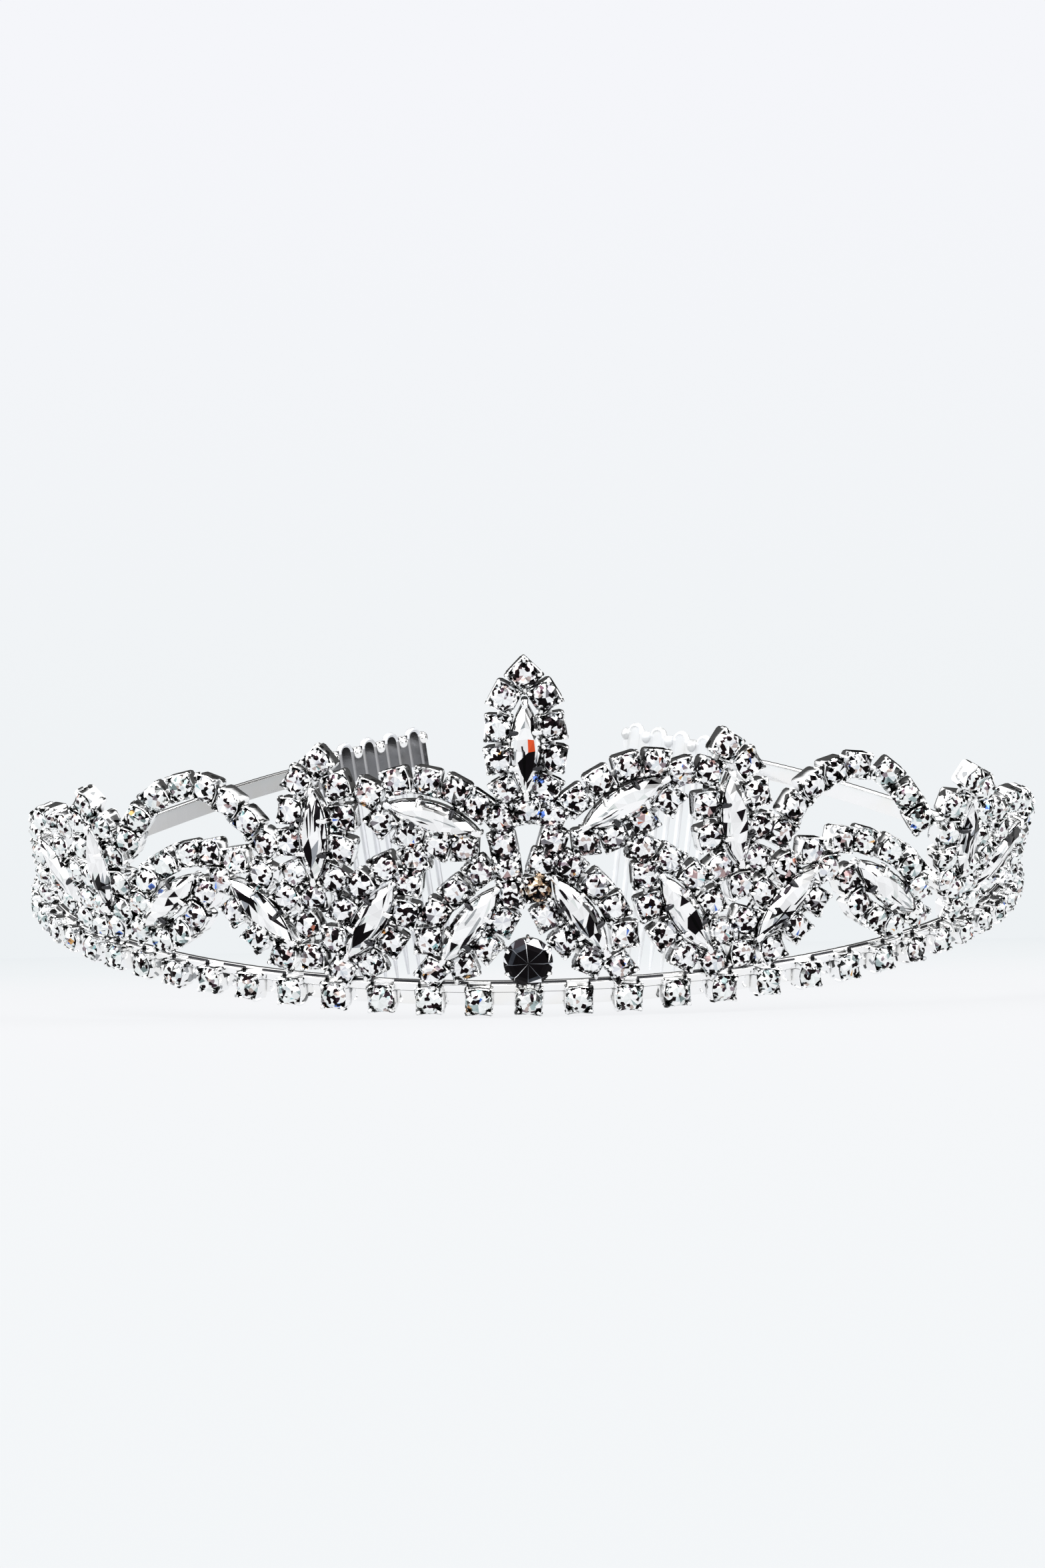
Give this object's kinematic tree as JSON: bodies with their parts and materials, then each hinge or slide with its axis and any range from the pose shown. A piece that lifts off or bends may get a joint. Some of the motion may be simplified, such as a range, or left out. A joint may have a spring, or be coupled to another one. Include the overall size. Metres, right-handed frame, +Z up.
{
  "type": "bridal tiara",
  "caption": "Silver-plated bridal tiara: a horseshoe headband on side combs, with looped rhinestone chains and marquise crystals standing along its front.",
  "frame": {"origin": "centre of the bounding box's base: the plane that the front chain and the tips of the combs' first teeth stand on", "axes": "+X along the tiara's width, towards its right as it is seen from the front; +Y from the front to the combs; +Z up"},
  "size_m": [0.1426, 0.134, 0.0446],
  "materials": {
    "polished_silver": "bright silver plate over brass, slightly handled",
    "rhinestone_chain": "silver-plated claw cups, each set with a clear faceted stone",
    "setting_silver": "bright silver-plated claw setting",
    "marquise_crystal": "clear faceted crystal with a foil back",
    "round_crystal": "clear faceted crystal with a foil back"
  },
  "bodies": {
    "root": {"headband": "polished_silver", "base_chain": "rhinestone_chain", "left_comb": "polished_silver", "right_comb": "polished_silver", "centre_top_chain": "rhinestone_chain", "centre_top_setting": "setting_silver", "centre_top_stone": "marquise_crystal", "left_big_arch": "rhinestone_chain", "left_centre_chain": "rhinestone_chain", "left_centre_setting": "setting_silver", "left_centre_stone": "marquise_crystal", "left_end_arch": "rhinestone_chain", "left_front_inner_chain": "rhinestone_chain", "left_front_inner_setting": "setting_silver", "left_front_inner_stone": "marquise_crystal", "left_front_outer_chain": "rhinestone_chain", "left_front_outer_setting": "setting_silver", "left_front_outer_stone": "marquise_crystal", "left_front_top_chain": "rhinestone_chain", "left_front_top_setting": "setting_silver", "left_front_top_stone": "marquise_crystal", "left_side_inner_setting": "setting_silver", "left_side_inner_stone": "marquise_crystal", "left_side_outer_chain": "rhinestone_chain", "left_side_outer_setting": "setting_silver", "left_side_outer_stone": "marquise_crystal", "left_side_top_chain": "rhinestone_chain", "left_side_top_setting": "setting_silver", "left_side_top_stone": "marquise_crystal", "left_small_arch": "rhinestone_chain", "left_wing_setting": "setting_silver", "left_wing_stone": "marquise_crystal", "right_big_arch": "rhinestone_chain", "right_centre_chain": "rhinestone_chain", "right_centre_setting": "setting_silver", "right_centre_stone": "marquise_crystal", "right_end_arch": "rhinestone_chain", "right_front_inner_chain": "rhinestone_chain", "right_front_inner_setting": "setting_silver", "right_front_inner_stone": "marquise_crystal", "right_front_outer_chain": "rhinestone_chain", "right_front_outer_setting": "setting_silver", "right_front_outer_stone": "marquise_crystal", "right_front_top_chain": "rhinestone_chain", "right_front_top_setting": "setting_silver", "right_front_top_stone": "marquise_crystal", "right_side_inner_setting": "setting_silver", "right_side_inner_stone": "marquise_crystal", "right_side_outer_chain": "rhinestone_chain", "right_side_outer_setting": "setting_silver", "right_side_outer_stone": "marquise_crystal", "right_side_top_chain": "rhinestone_chain", "right_side_top_setting": "setting_silver", "right_side_top_stone": "marquise_crystal", "right_small_arch": "rhinestone_chain", "right_wing_setting": "setting_silver", "right_wing_stone": "marquise_crystal", "round_stone": "round_crystal", "round_stone_cup": "setting_silver"}
  },
  "joints": []
}
